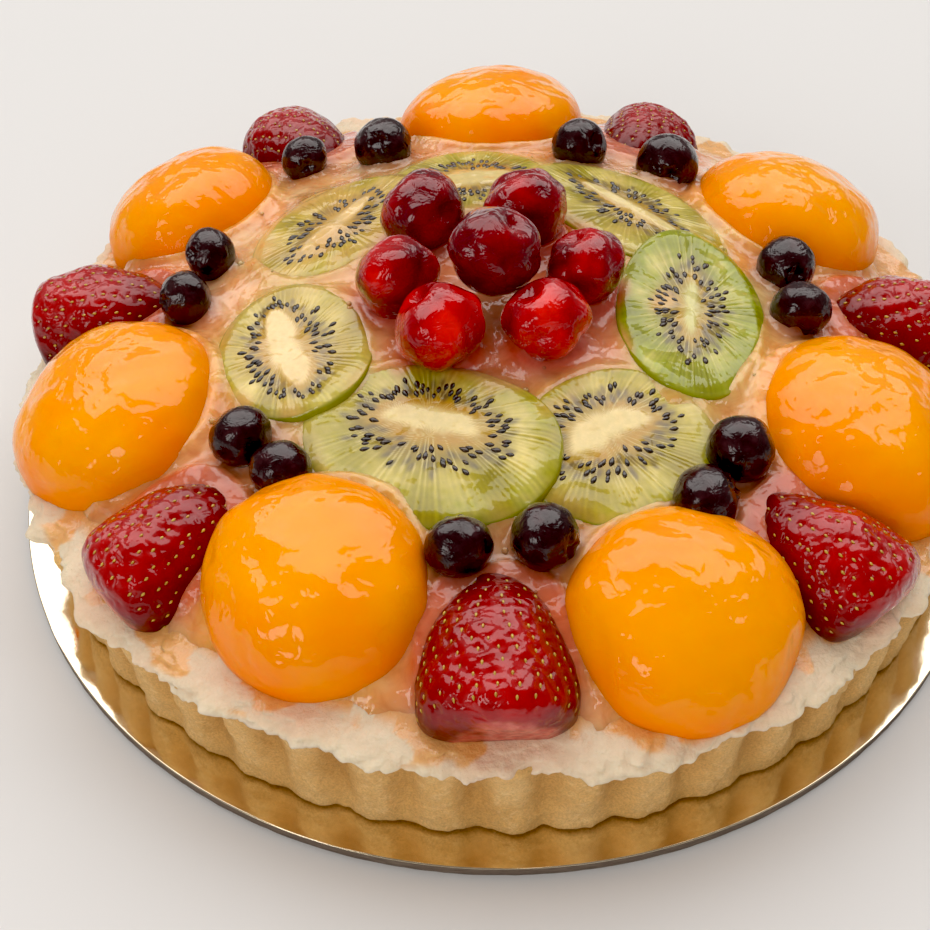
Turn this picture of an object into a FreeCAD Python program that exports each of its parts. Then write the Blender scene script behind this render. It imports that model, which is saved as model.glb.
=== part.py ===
import FreeCAD, Part

import math
import os

# A round fruit tart on a gold cake board. Millimetres, +Z up.
# The origin is the centre of the board's underside. Angles are in degrees,
# measured from +X towards +Y, and the front of the tart faces -Y.

# --- board ---------------------------------------------------------------
BOARD_RADIUS = 120.0
CORE_THICKNESS = 2.7
FOIL_THICKNESS = 0.3
BOARD_TOP = CORE_THICKNESS + FOIL_THICKNESS

# --- pastry shell --------------------------------------------------------
FLUTE_COUNT = 48
FLUTE_DEPTH = 3.2
SHELL_RIM_Z = 31.0
SHELL_FOOT_RADIUS = 112.5          # to the crowns of the flutes
SHELL_RIM_RADIUS = 116.0
SHELL_BASE = 5.0
SHELL_WALL = 4.0                   # behind the valleys between the flutes

# --- cream dome ----------------------------------------------------------
CREAM_TOP_Z = 56.5
CREAM_RIM_Z = 31.5
CREAM_RIM_RADIUS = 112.0
DOME_SPAN = CREAM_TOP_Z - CREAM_RIM_Z
DOME_RADIUS = (CREAM_RIM_RADIUS ** 2 + DOME_SPAN ** 2) / (2.0 * DOME_SPAN)
DOME_CENTRE_Z = CREAM_TOP_Z - DOME_RADIUS

# --- glaze ---------------------------------------------------------------
GLAZE_THICKNESS = 1.5
GLAZE_RADIUS = 104.0
GLAZE_CRUMB = 30.0                 # cubic mm: smaller islands of glaze are left out

# --- fruit ---------------------------------------------------------------
# Apricot halves, round side up: angle, radius, half width, height
APRICOTS = [
    (90.0, 91.0, 25.0, 16.5),
    (30.5, 87.5, 25.0, 17.0),
    (-23.0, 88.0, 26.0, 17.0),
    (-67.0, 92.0, 24.2, 17.0),
    (-118.0, 86.0, 24.2, 17.0),
    (-166.0, 91.5, 25.4, 17.0),
    (145.5, 96.5, 23.2, 16.5),
]

# Strawberry halves, tips towards the centre: angle, radius, turn of the tip, length, width, height
STRAWBERRIES = [
    (122.0, 97.5, 0.0, 33.0, 31.0, 13.5),
    (171.0, 95.5, 6.0, 34.0, 30.0, 15.0),
    (-139.0, 93.5, -16.0, 34.0, 29.0, 14.5),
    (-91.8, 92.0, 0.0, 35.0, 33.0, 16.0),
    (-45.0, 94.5, 0.0, 36.0, 29.0, 15.0),
    (3.0, 95.0, 0.0, 36.0, 31.0, 15.0),
    (63.0, 88.5, 0.0, 32.0, 29.0, 11.0),
]

# Blueberries: angle, radius, berry radius
BLUEBERRIES = [
    (127.0, 83.0, 6.0),
    (113.0, 73.0, 7.5),
    (162.0, 74.5, 6.5),
    (174.5, 75.5, 6.5),
    (-144.5, 71.0, 7.0),
    (-133.0, 71.0, 6.8),
    (-98.0, 74.0, 7.0),
    (-84.0, 72.0, 7.4),
    (-43.5, 70.0, 7.5),
    (-55.5, 74.5, 7.5),
    (11.0, 71.5, 7.2),
    (-2.0, 71.0, 7.0),
    (70.0, 67.0, 7.3),
    (51.0, 72.5, 8.0),
]
BLUEBERRY_LIFT = 6.0

# Kiwi slices, the lowest of the overlapping row first: angle, radius, half length along
# the row, half width, lift of the underside, outward tilt, tilt along the row
KIWIS = [
    (97.0, 47.0, 21.0, 18.0, 0.5, 7.0, 0.0),
    (45.0, 46.5, 28.0, 16.5, 2.0, 11.0, 5.0),
    (143.0, 49.0, 25.0, 17.0, 1.0, 10.0, 0.0),
    (-62.0, 52.0, 23.0, 20.0, 0.5, 8.0, 0.0),
    (-8.0, 44.5, 28.0, 17.0, 4.5, 8.0, 0.0),
    (-110.0, 48.0, 29.0, 20.5, 3.0, 8.0, 4.0),
    (-162.0, 49.5, 22.0, 17.5, 4.0, 10.0, 4.0),
]
KIWI_THICKNESS = 5.0

# Glazed cherries, one on a ring of six: angle, radius, cherry radius, lift
CHERRIES = [
    (131.0, 27.0, 9.8, 10.3),
    (-172.0, 24.0, 9.8, 10.6),
    (-124.0, 25.0, 10.3, 10.6),
    (-62.0, 21.5, 9.3, 10.4),
    (-4.0, 20.0, 9.3, 10.4),
    (72.0, 22.5, 10.3, 10.0),
    (-110.0, 4.0, 10.6, 17.0),
]

UP = FreeCAD.Vector(0, 0, 1)
ORIGIN = FreeCAD.Vector(0, 0, 0)


def polar(radius, angle, z=0.0):
    a = math.radians(angle)
    return FreeCAD.Vector(radius * math.cos(a), radius * math.sin(a), z)


def dome_z(radius):
    """Height of the cream's surface at a distance from the tart's axis."""
    return DOME_CENTRE_Z + math.sqrt(DOME_RADIUS ** 2 - radius ** 2)


def seat(angle, radius, lift=0.0, tilt=None, tilt_along=0.0, turn=0.0):
    """Placement on the dome: local X runs round the tart, local Y outwards, local Z off the cream."""
    if tilt is None:
        tilt = math.degrees(math.asin(radius / DOME_RADIUS))
    spot = polar(radius, angle, dome_z(radius) + lift)
    facing = FreeCAD.Rotation(UP, angle - 90.0)
    lean = FreeCAD.Rotation(FreeCAD.Vector(1, 0, 0), -tilt)
    along = FreeCAD.Rotation(FreeCAD.Vector(0, 1, 0), -tilt_along)
    spin = FreeCAD.Rotation(UP, turn)
    return FreeCAD.Placement(spot, facing.multiply(lean).multiply(along).multiply(spin))


def revolve(points):
    """Solid of revolution about Z from (radius, z) points."""
    corners = [FreeCAD.Vector(r, 0, z) for r, z in points]
    face = Part.Face(Part.makePolygon(corners + corners[:1]))
    return face.revolve(ORIGIN, UP, 360)


def placed(shape, placement):
    """The shape, carried from the origin to a place on the dome."""
    shape.Placement = placement.multiply(shape.Placement)
    return shape


# --- board ---------------------------------------------------------------
def make_board_core():
    return Part.makeCylinder(BOARD_RADIUS, CORE_THICKNESS)


def make_board_foil():
    return Part.makeCylinder(BOARD_RADIUS, FOIL_THICKNESS, FreeCAD.Vector(0, 0, CORE_THICKNESS))


# --- pastry shell --------------------------------------------------------
def flute_wire(crown_radius, z):
    """Closed wire of rounded flutes that meet in sharp valleys."""
    step = 360.0 / FLUTE_COUNT
    valley_radius = crown_radius - FLUTE_DEPTH
    arcs = []
    for i in range(FLUTE_COUNT):
        start = polar(valley_radius, i * step, z)
        crown = polar(crown_radius, (i + 0.5) * step, z)
        end = polar(valley_radius, (i + 1) * step, z)
        arcs.append(Part.Arc(start, crown, end).toShape())
    return Part.Wire(arcs)


def shell_inner_radius(z):
    """Inside radius of the shell's wall at a height."""
    share = (z - BOARD_TOP) / (SHELL_RIM_Z - BOARD_TOP)
    crown = SHELL_FOOT_RADIUS + share * (SHELL_RIM_RADIUS - SHELL_FOOT_RADIUS)
    return crown - FLUTE_DEPTH - SHELL_WALL


def make_pastry_shell():
    foot = flute_wire(SHELL_FOOT_RADIUS, BOARD_TOP)
    rim = flute_wire(SHELL_RIM_RADIUS, SHELL_RIM_Z)
    cup = Part.makeLoft([foot, rim], True, True)
    floor_z = BOARD_TOP + SHELL_BASE
    hollow = Part.makeCone(
        shell_inner_radius(floor_z),
        shell_inner_radius(SHELL_RIM_Z),
        SHELL_RIM_Z - floor_z,
        FreeCAD.Vector(0, 0, floor_z),
    )
    return cup.cut(hollow)


# --- cream and glaze -----------------------------------------------------
def dome_ball(rise=0.0):
    """Ball whose cap is the cream's surface, or a surface above it by rise."""
    return Part.makeSphere(DOME_RADIUS + rise, FreeCAD.Vector(0, 0, DOME_CENTRE_Z))


def make_cream():
    """Filling inside the shell, domed above it, and carried out over the shell's rim."""
    floor_z = BOARD_TOP + SHELL_BASE
    profile = [
        (0.0, floor_z),
        (shell_inner_radius(floor_z), floor_z),
        (shell_inner_radius(SHELL_RIM_Z), SHELL_RIM_Z),
        (SHELL_RIM_RADIUS, SHELL_RIM_Z),
        (SHELL_RIM_RADIUS, CREAM_TOP_Z),
        (0.0, CREAM_TOP_Z),
    ]
    return revolve(profile).common(dome_ball())


def make_glaze(fruits):
    """Thin pool of glaze on the cream, broken by the fruit that stands in it."""
    column = Part.makeCylinder(GLAZE_RADIUS, CREAM_TOP_Z + 20.0)
    skin = column.common(dome_ball(GLAZE_THICKNESS)).cut(dome_ball())
    pools = skin.cut(fruits)
    return Part.makeCompound([s for s in pools.Solids if s.Volume > GLAZE_CRUMB])


# --- fruit ---------------------------------------------------------------
def make_apricot(angle, radius, half_width, height):
    """Ball sunk so far into the cream that a cap of the given width and height stands out."""
    ball_radius = (half_width ** 2 + height ** 2) / (2.0 * height)
    ball = Part.makeSphere(ball_radius, UP * (height - ball_radius))
    return placed(ball, seat(angle, radius))


def make_strawberry(angle, radius, turn, length, width, height):
    """Berry lying on its cut side: a pointed tip, widest near the flat cap end."""
    half = width / 2.0
    tip = -0.5 * length
    outline = [
        (0.0, tip),
        (0.42 * half, tip + 0.05 * length),
        (0.80 * half, tip + 0.30 * length),
        (half, tip + 0.66 * length),
        (0.78 * half, tip + length),
    ]
    points = [FreeCAD.Vector(r, y, 0) for r, y in outline]
    flank = Part.BSplineCurve()
    flank.interpolate(points)
    cap_centre = FreeCAD.Vector(0, points[-1].y, 0)
    cap = Part.makeLine(points[-1], cap_centre)
    axis = Part.makeLine(cap_centre, points[0])
    face = Part.Face(Part.Wire([flank.toShape(), cap, axis]))
    berry = face.revolve(ORIGIN, FreeCAD.Vector(0, 1, 0), 360)
    berry.translate(UP * (height - half))
    return placed(berry, seat(angle, radius, turn=turn))


def make_blueberry(angle, radius, size):
    berry = Part.makeSphere(size)
    return placed(berry, seat(angle, radius, BLUEBERRY_LIFT))


def make_kiwi(angle, radius, half_length, half_width, lift, tilt_out, tilt_along):
    oval = Part.Ellipse(ORIGIN, half_length, half_width).toShape()
    slab = Part.Face(Part.Wire([oval])).extrude(UP * KIWI_THICKNESS)
    return placed(slab, seat(angle, radius, lift, tilt_out, tilt_along))


def make_cherry(angle, radius, size, lift):
    return placed(Part.makeSphere(size), seat(angle, radius, lift))


def cut_by_near(blank, tools):
    """The blank less every tool that comes near it."""
    near = [tool for tool in tools if tool.BoundBox.intersect(blank.BoundBox)]
    return max(blank.cut(near).Solids, key=lambda solid: solid.Volume)


def trimmed(rows, make, tools):
    """Fruits of one kind, each cut by what it rests against and by the ones laid after it."""
    blanks = [make(*row) for row in rows]
    return [cut_by_near(blank, tools + blanks[i + 1:]) for i, blank in enumerate(blanks)]


def make_parts():
    cream = make_cream()
    bed = [dome_ball(), Part.makeCylinder(SHELL_RIM_RADIUS, SHELL_RIM_Z)]
    apricots = trimmed(APRICOTS, make_apricot, bed)
    kiwis = trimmed(KIWIS, make_kiwi, bed + apricots)
    strawberries = trimmed(STRAWBERRIES, make_strawberry, bed + apricots)
    cherries = trimmed(CHERRIES, make_cherry, bed + kiwis)
    blueberries = trimmed(BLUEBERRIES, make_blueberry, bed + apricots + strawberries + kiwis)
    fruits = {
        "apricot_half": apricots,
        "strawberry_half": strawberries,
        "blueberry": blueberries,
        "kiwi_slice": kiwis,
        "cherry": cherries,
    }
    parts = {
        "board_core": make_board_core(),
        "board_foil": make_board_foil(),
        "pastry_shell": make_pastry_shell(),
        "cream_filling": cream,
        "glaze": make_glaze([s for group in fruits.values() for s in group]),
    }
    for name, solids in fruits.items():
        for i, solid in enumerate(solids, start=1):
            parts[f"{name}_{i}"] = solid
    return parts


os.makedirs("parts", exist_ok=True)
for name, shape in make_parts().items():
    shape.exportStep(f"parts/{name}.step")
    print(f"{name:20s} {len(shape.Solids)} solid(s) {shape.Volume:12.1f} mm3 valid {shape.isValid()}")
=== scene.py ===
import math

import bpy
import numpy as np
from mathutils import Matrix, Vector


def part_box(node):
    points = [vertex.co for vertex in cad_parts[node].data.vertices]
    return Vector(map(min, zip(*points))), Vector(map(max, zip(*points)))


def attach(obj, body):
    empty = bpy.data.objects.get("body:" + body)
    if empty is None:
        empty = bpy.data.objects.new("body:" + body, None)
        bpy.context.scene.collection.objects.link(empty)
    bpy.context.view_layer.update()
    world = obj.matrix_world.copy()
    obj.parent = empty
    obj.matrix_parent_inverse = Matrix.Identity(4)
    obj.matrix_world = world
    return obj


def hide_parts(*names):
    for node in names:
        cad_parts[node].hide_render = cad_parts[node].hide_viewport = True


# A glazed fruit tart on a gold cake board. Shapes are worked out in millimetres and become
# metres in mesh_object. The tart's axis is Z, its front faces -Y, and angles run from +X to +Y.

MM = 0.001

# --- the camera, and the light that the studio gives -----------------------
VIEW_ELEVATION = 46.2
VIEW_DISTANCE = 420.0
VIEW_ROLL = -1.05
VIEW_AIM = (-8.8, -3.4)
VIEW_LENS = 63.2

# --- how the pieces are finished -------------------------------------------
GLAZE_DEPTH = 1.5
GLAZE_REACH = 107.0
BUBBLE_COUNT = 90
FLOOR_DROP = 0.0002                 # metres that the studio floor lies below the board
UNDERSIDE_STEP = 6                 # one ring in six is kept under the glaze
KIWI_THICKNESS = 4.4
FLUTE_COUNT = 48
FLUTE_DEPTH = 3.6

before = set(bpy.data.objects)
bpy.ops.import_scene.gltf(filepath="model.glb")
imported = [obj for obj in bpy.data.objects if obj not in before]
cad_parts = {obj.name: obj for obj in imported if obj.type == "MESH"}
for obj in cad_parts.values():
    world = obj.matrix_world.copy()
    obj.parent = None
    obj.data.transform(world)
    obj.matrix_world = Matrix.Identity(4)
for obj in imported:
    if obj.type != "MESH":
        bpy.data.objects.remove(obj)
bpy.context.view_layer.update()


# ---- small tools -----------------------------
def node_points(node):
    """The CAD node's vertices in millimetres."""
    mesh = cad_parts[node].data
    flat = np.empty(len(mesh.vertices) * 3)
    mesh.vertices.foreach_get("co", flat)
    return flat.reshape(-1, 3) / MM


def node_box(node):
    low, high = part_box(node)
    return np.array(low) / MM, np.array(high) / MM


def fitted_ball(points):
    """Centre and radius of the ball that most of the points lie on."""
    for _ in range(10):
        rows = np.c_[2.0 * points, np.ones(len(points))]
        answer = np.linalg.lstsq(rows, (points ** 2).sum(axis=1), rcond=None)[0]
        centre = answer[:3]
        radius = math.sqrt(answer[3] + centre @ centre)
        miss = np.abs(np.linalg.norm(points - centre, axis=1) - radius)
        points = points[miss <= max(np.quantile(miss, 0.8), 0.02)]
    return centre, radius


class Ripple:
    """Smooth seeded noise: many plane waves of about one wavelength, in mm."""

    def __init__(self, seed, wavelength, waves=28):
        rng = np.random.default_rng(seed)
        ways = rng.normal(size=(waves, 3))
        ways /= np.linalg.norm(ways, axis=1)[:, None]
        self.ways = ways * (2.0 * math.pi / wavelength) * rng.uniform(0.6, 1.5, (waves, 1))
        self.phase = rng.uniform(0.0, 2.0 * math.pi, waves)

    def __call__(self, points):
        waves = np.cos(points @ self.ways.T + self.phase)
        return waves.sum(axis=-1) * math.sqrt(2.0 / len(self.phase))


def smooth_step(x, low, high):
    t = np.clip((x - low) / (high - low), 0.0, 1.0)
    return t * t * (3.0 - 2.0 * t)


class Form:
    """Points with the quads and triangles between them."""

    def __init__(self, points, quads, triangles):
        self.points = points
        self.quads = quads
        self.triangles = triangles

    def outward(self):
        """Turns every face round if the form encloses a negative volume."""
        p, q, t = self.points, self.quads, self.triangles
        corners = np.concatenate([t, q[:, [0, 1, 2]], q[:, [0, 2, 3]]])
        a, b, c = p[corners[:, 0]], p[corners[:, 1]], p[corners[:, 2]]
        if np.einsum("ij,ij->", a, np.cross(b, c)) < 0.0:
            self.quads = q[:, ::-1]
            self.triangles = t[:, ::-1]
        return self


def closed_grid(rings):
    """Closed form from rings shaped (rows, cols, 3), with a point at the middle of each end ring."""
    rows, cols, _ = rings.shape
    points = np.vstack([rings.reshape(-1, 3), rings[0].mean(axis=0), rings[-1].mean(axis=0)])
    i, j = np.meshgrid(np.arange(rows - 1), np.arange(cols), indexing="ij")
    k = (j + 1) % cols
    quads = np.stack([i * cols + j, i * cols + k, (i + 1) * cols + k, (i + 1) * cols + j], axis=-1)
    j, k = np.arange(cols), (np.arange(cols) + 1) % cols
    last = (rows - 1) * cols
    first_fan = np.stack([k, j, np.full(cols, rows * cols)], axis=-1)
    last_fan = np.stack([last + j, last + k, np.full(cols, rows * cols + 1)], axis=-1)
    return Form(points, quads.reshape(-1, 4), np.concatenate([first_fan, last_fan])).outward()


def with_seeds(form, seed, places):
    """The form with a copy of the seed at each (origin, axes) place, and a material slot a face."""
    points, quads, triangles = [form.points], [form.quads], [form.triangles]
    count = len(form.points)
    for origin, axes in places:
        points.append(origin + seed.points @ axes)
        quads.append(seed.quads + count)
        triangles.append(seed.triangles + count)
        count += len(seed.points)
    joined = Form(np.vstack(points), np.concatenate(quads), np.concatenate(triangles))
    slots = np.zeros(len(joined.quads) + len(joined.triangles), dtype=np.int32)
    slots[len(form.quads):len(joined.quads)] = 1
    slots[len(joined.quads) + len(form.triangles):] = 1
    return joined, slots


def mesh_object(name, form, materials, body, replaces=(), slots=None):
    """A smooth mesh piece in metres that rides on a body and stands for CAD nodes."""
    mesh = bpy.data.meshes.new(name)
    corners = np.concatenate([form.quads.ravel(), form.triangles.ravel()]).astype(np.int32)
    sizes = np.r_[np.full(len(form.quads), 4), np.full(len(form.triangles), 3)]
    mesh.vertices.add(len(form.points))
    mesh.vertices.foreach_set("co", (form.points * MM).ravel())
    mesh.loops.add(len(corners))
    mesh.loops.foreach_set("vertex_index", corners)
    mesh.polygons.add(len(sizes))
    mesh.polygons.foreach_set("loop_start", np.r_[0, np.cumsum(sizes)[:-1]].astype(np.int32))
    for material in materials:
        mesh.materials.append(material)
    if slots is not None:
        mesh.polygons.foreach_set("material_index", slots)
    mesh.polygons.foreach_set("use_smooth", np.ones(len(sizes), dtype=bool))
    mesh.update()
    mesh.validate()
    piece = bpy.data.objects.new(name, mesh)
    bpy.context.scene.collection.objects.link(piece)
    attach(piece, body)
    if replaces:
        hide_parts(*replaces)
    return piece


def point_colours(piece, name, colours):
    """Stores one colour a vertex under a name that the material reads."""
    layer = piece.data.color_attributes.new(name=name, type="FLOAT_COLOR", domain="POINT")
    rgba = np.ones((len(piece.data.vertices), 4))
    rgba[:, :3] = colours
    layer.data.foreach_set("color", rgba.ravel())


class Shader:
    """A Principled material, with short calls for the nodes that feed it."""

    def __init__(self, name, **constants):
        self.material = bpy.data.materials.new(name)
        self.material.use_nodes = True
        self.tree = self.material.node_tree
        self.bsdf = self.tree.nodes["Principled BSDF"]
        self.place = self.tree.nodes.new("ShaderNodeTexCoord").outputs["Object"]
        for key, value in constants.items():
            self.set(key.replace("_", " "), value)

    def feed(self, socket, value):
        if isinstance(value, bpy.types.NodeSocket):
            self.tree.links.new(value, socket)
        else:
            socket.default_value = value

    def set(self, key, value):
        self.feed(self.bsdf.inputs[key], value)

    def noise(self, size, detail=4.0, rough=0.5, distortion=0.0, vector=None):
        """Noise from 0 to 1 whose blotches are about size mm across."""
        node = self.tree.nodes.new("ShaderNodeTexNoise")
        self.feed(node.inputs["Vector"], self.place if vector is None else vector)
        node.inputs["Scale"].default_value = 1.0 / (size * MM)
        node.inputs["Detail"].default_value = detail
        node.inputs["Roughness"].default_value = rough
        node.inputs["Distortion"].default_value = distortion
        return node.outputs["Fac"]

    def stretched(self, x, y, z):
        """Object coordinates, scaled along each axis."""
        node = self.tree.nodes.new("ShaderNodeMapping")
        self.feed(node.inputs["Vector"], self.place)
        node.inputs["Scale"].default_value = (x, y, z)
        return node.outputs["Vector"]

    def ramp(self, fac, stops):
        node = self.tree.nodes.new("ShaderNodeValToRGB")
        elements = node.color_ramp.elements
        while len(elements) < len(stops):
            elements.new(0.5)
        for element, (at, colour) in zip(elements, stops):
            element.position = at
            element.color = (*colour, 1.0)
        self.feed(node.inputs["Fac"], fac)
        return node.outputs["Color"]

    def level(self, fac, low, high, to_low=0.0, to_high=1.0):
        """Fac mapped from one range to another, and held at its ends."""
        node = self.tree.nodes.new("ShaderNodeMapRange")
        self.feed(node.inputs["Value"], fac)
        node.inputs["From Min"].default_value = low
        node.inputs["From Max"].default_value = high
        node.inputs["To Min"].default_value = to_low
        node.inputs["To Max"].default_value = to_high
        return node.outputs["Result"]

    def maths(self, operation, a, b=0.0):
        node = self.tree.nodes.new("ShaderNodeMath")
        node.operation = operation
        self.feed(node.inputs[0], a)
        self.feed(node.inputs[1], b)
        return node.outputs["Value"]

    def mix(self, fac, a, b, blend="MIX"):
        node = self.tree.nodes.new("ShaderNodeMix")
        node.data_type = "RGBA"
        node.blend_type = blend
        self.feed(node.inputs["Factor"], fac)
        self.feed(node.inputs[6], self.rgba(a))
        self.feed(node.inputs[7], self.rgba(b))
        return node.outputs[2]

    def rgba(self, value):
        if isinstance(value, bpy.types.NodeSocket):
            return value
        return (*value, 1.0)

    def translucent(self, weight, radius, scale):
        """Light that scatters inside, over about scale metres."""
        self.set("Subsurface Weight", weight)
        self.set("Subsurface Radius", radius)
        self.set("Subsurface Scale", scale)

    def coated(self, weight, roughness):
        self.set("Coat Weight", weight)
        self.set("Coat Roughness", roughness)

    def colour_of(self, name):
        node = self.tree.nodes.new("ShaderNodeVertexColor")
        node.layer_name = name
        return node.outputs["Color"]

    def channels(self, colour):
        node = self.tree.nodes.new("ShaderNodeSeparateColor")
        self.feed(node.inputs["Color"], colour)
        return node.outputs["Red"], node.outputs["Green"], node.outputs["Blue"]

    def bump(self, height, depth, strength=1.0, normal=None):
        """Bump of depth mm."""
        node = self.tree.nodes.new("ShaderNodeBump")
        self.feed(node.inputs["Height"], height)
        node.inputs["Distance"].default_value = depth * MM
        node.inputs["Strength"].default_value = strength
        if normal is not None:
            self.feed(node.inputs["Normal"], normal)
        return node.outputs["Normal"]


# ---- where the frame puts things -------------
CREAM_HIGH = node_box("cream_filling")[1]
SHELL_HIGH = node_box("pastry_shell")[1]
BOARD_HIGH = node_box("board_foil")[1]
CORE_HIGH = node_box("board_core")[1]
BOARD_RADIUS = BOARD_HIGH[0]
BOARD_TOP = BOARD_HIGH[2]
SHELL_RIM_Z = SHELL_HIGH[2]
SHELL_RIM_RADIUS = SHELL_HIGH[0]
DOME_RIM = CREAM_HIGH[0]
DOME_TOP = CREAM_HIGH[2]
DOME_SPAN = DOME_TOP - SHELL_RIM_Z
DOME_RADIUS = (DOME_RIM ** 2 + DOME_SPAN ** 2) / (2.0 * DOME_SPAN)
DOME_CENTRE = np.array([0.0, 0.0, DOME_TOP - DOME_RADIUS])


def off_the_dome(points, clear=0.15):
    away = np.abs(np.linalg.norm(points - DOME_CENTRE, axis=1) - DOME_RADIUS)
    return points[away > clear]


def dome_height(xy):
    """Height of the cream's surface over (x, y)."""
    far = np.minimum((xy ** 2).sum(axis=-1), (1.15 * DOME_RIM) ** 2)
    return DOME_CENTRE[2] + np.sqrt(DOME_RADIUS ** 2 - far)


class Seat:
    """A place on the dome: across runs round the tart, out away from its axis, up off the cream."""

    def __init__(self, point, turn=0.0):
        ray = np.asarray(point, float) - DOME_CENTRE
        self.up = ray / np.linalg.norm(ray)
        self.origin = DOME_CENTRE + self.up * DOME_RADIUS
        self.angle = math.atan2(self.origin[1], self.origin[0])
        across = np.array([math.sin(self.angle), -math.cos(self.angle), 0.0])
        out = np.cross(self.up, across)
        c, s = math.cos(math.radians(turn)), math.sin(math.radians(turn))
        self.across = c * across + s * out
        self.out = -s * across + c * out
        self.axes = np.array([self.across, self.out, self.up])

    def world(self, local):
        return self.origin + local @ self.axes

    def local(self, points):
        return (points - self.origin) @ self.axes.T


class Ball:
    """A round fruit as the CAD node has it."""

    def __init__(self, node):
        self.node = node
        self.centre, self.size = fitted_ball(off_the_dome(node_points(node)))
        self.seat = Seat(self.centre)
        self.lift = (self.centre - self.seat.origin) @ self.seat.up

    @property
    def foot(self):
        """Radius of the ring where the fruit meets the cream, or its own where it stands clear."""
        return math.sqrt(max(self.size ** 2 - self.lift ** 2, 0.0))


class Berry:
    """A strawberry half as the CAD node has it: its seat, length, half width and height."""

    def __init__(self, node):
        self.node = node
        points = node_points(node)
        reach = np.hypot(points[:, 0], points[:, 1])
        tip = points[reach.argmin()]
        middle = (points.min(axis=0) + points.max(axis=0)) / 2.0
        seat = Seat(middle)
        way = seat.local(tip)
        turn = math.degrees(math.atan2(way[0], -way[1]))
        self.seat = Seat(middle, turn)
        local = self.seat.local(points)
        self.low, self.high = local.min(axis=0), local.max(axis=0)
        self.seat.origin = self.seat.world(np.array([*(self.low + self.high)[:2] / 2.0, 0.0]))
        self.length = self.high[1] - self.low[1]
        self.half = (self.high[0] - self.low[0]) / 2.0
        self.height = self.high[2]


class Slice:
    """A kiwi slice as the CAD node has it: centre, long way, and half sizes seen from above."""

    def __init__(self, node):
        self.node = node
        points = node_points(node)[:, :2]
        middle = (points.min(axis=0) + points.max(axis=0)) / 2.0
        for _ in range(3):
            angle = math.atan2(middle[1], middle[0])
            self.along = np.array([-math.sin(angle), math.cos(angle)])
            self.out = np.array([math.cos(angle), math.sin(angle)])
            a, b = points @ self.along, points @ self.out
            middle = self.along * (a.min() + a.max()) / 2.0 + self.out * (b.min() + b.max()) / 2.0
        self.middle = middle
        self.half_along = (a.max() - a.min()) / 2.0
        self.half_out = (b.max() - b.min()) / 2.0

    def inside(self, xy):
        """0 at the middle of the slice, 1 on its outline."""
        away = xy - self.middle
        return np.hypot(away @ self.along / self.half_along, away @ self.out / self.half_out)


APRICOTS = [Ball(f"apricot_half_{i}") for i in range(1, 8)]
STRAWBERRIES = [Berry(f"strawberry_half_{i}") for i in range(1, 8)]
BLUEBERRIES = [Ball(f"blueberry_{i}") for i in range(1, 15)]
CHERRIES = [Ball(f"cherry_{i}") for i in range(1, 8)]
RING_CHERRIES = CHERRIES[:6]
KIWIS = [Slice(f"kiwi_slice_{i}") for i in range(1, 8)]


# ---- materials -------------------------------
def cardboard_material():
    m = Shader("cardboard", Roughness=0.85)
    layers = m.noise(0.5, detail=3, vector=m.stretched(0.15, 0.15, 3.0))
    stain = m.noise(9.0, detail=3)
    paper = m.ramp(layers, [(0.3, (0.085, 0.060, 0.045)), (0.7, (0.25, 0.195, 0.15))])
    m.set("Base Color", m.mix(m.level(stain, 0.4, 0.7, 0.0, 0.6), paper, (0.15, 0.11, 0.085)))
    m.set("Normal", m.bump(layers, 0.15, 0.8))
    return m.material


def foil_material():
    """Gold foil pressed on board: bright, with a fine grain, dents and dull finger marks."""
    m = Shader("gold_foil", Metallic=1.0)
    dull = m.noise(16.0, detail=5, rough=0.6)
    grain = m.noise(0.9, detail=3, rough=0.7)
    gold = m.ramp(dull, [(0.25, (0.82, 0.69, 0.48)), (0.55, (0.88, 0.77, 0.57)), (0.8, (0.93, 0.84, 0.68))])
    m.set("Base Color", gold)
    m.set("Roughness", m.level(dull, 0.3, 0.7, 0.05, 0.13))
    waves = m.bump(m.noise(14.0, detail=2), 0.3, 0.3)
    m.set("Normal", m.bump(grain, 0.015, 0.5, waves))
    return m.material


def pastry_material():
    """Pale shortcrust: sandy grain, floury bloom, and browner where the colour attribute says, which holds
    the bake and painted shade in the flute valleys.
    """
    m = Shader("shortcrust", Roughness=0.82)
    # Red channel: browning, painted shade in the flute valleys, and a darker foot of the wall. Green channel:
    # where flour may lie.
    browned_and_valley_shade, pale, _ = m.channels(m.colour_of("bake_and_valley_shade"))
    grain = m.noise(0.55, detail=6, rough=0.72)
    blotch = m.noise(7.0, detail=5, rough=0.6)
    base = m.ramp(
        m.maths("ADD", m.maths("MULTIPLY", browned_and_valley_shade, 0.75), m.maths("MULTIPLY", blotch, 0.25)),
        [
            (0.05, (0.86, 0.55, 0.23)),
            (0.35, (0.78, 0.46, 0.165)),
            (0.70, (0.64, 0.35, 0.11)),
            (1.00, (0.44, 0.21, 0.055)),
        ],
    )
    speck = m.level(grain, 0.35, 0.75, 0.72, 1.16)
    sandy = m.mix(1.0, base, m.ramp(speck, [(0.0, (0.0, 0.0, 0.0)), (1.0, (1.0, 1.0, 1.0))]), "MULTIPLY")
    flour = m.maths("MULTIPLY", m.level(m.noise(2.2, detail=6, rough=0.7), 0.5, 0.75, 0.0, 0.55), pale)
    m.set("Base Color", m.mix(flour, sandy, (0.88, 0.66, 0.36)))
    m.translucent(0.12, (1.0, 0.5, 0.25), 0.002)
    rough = m.bump(m.noise(1.6, detail=5, rough=0.65), 0.5, 0.6)
    m.set("Normal", m.bump(grain, 0.16, 0.8, rough))
    return m.material


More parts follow.
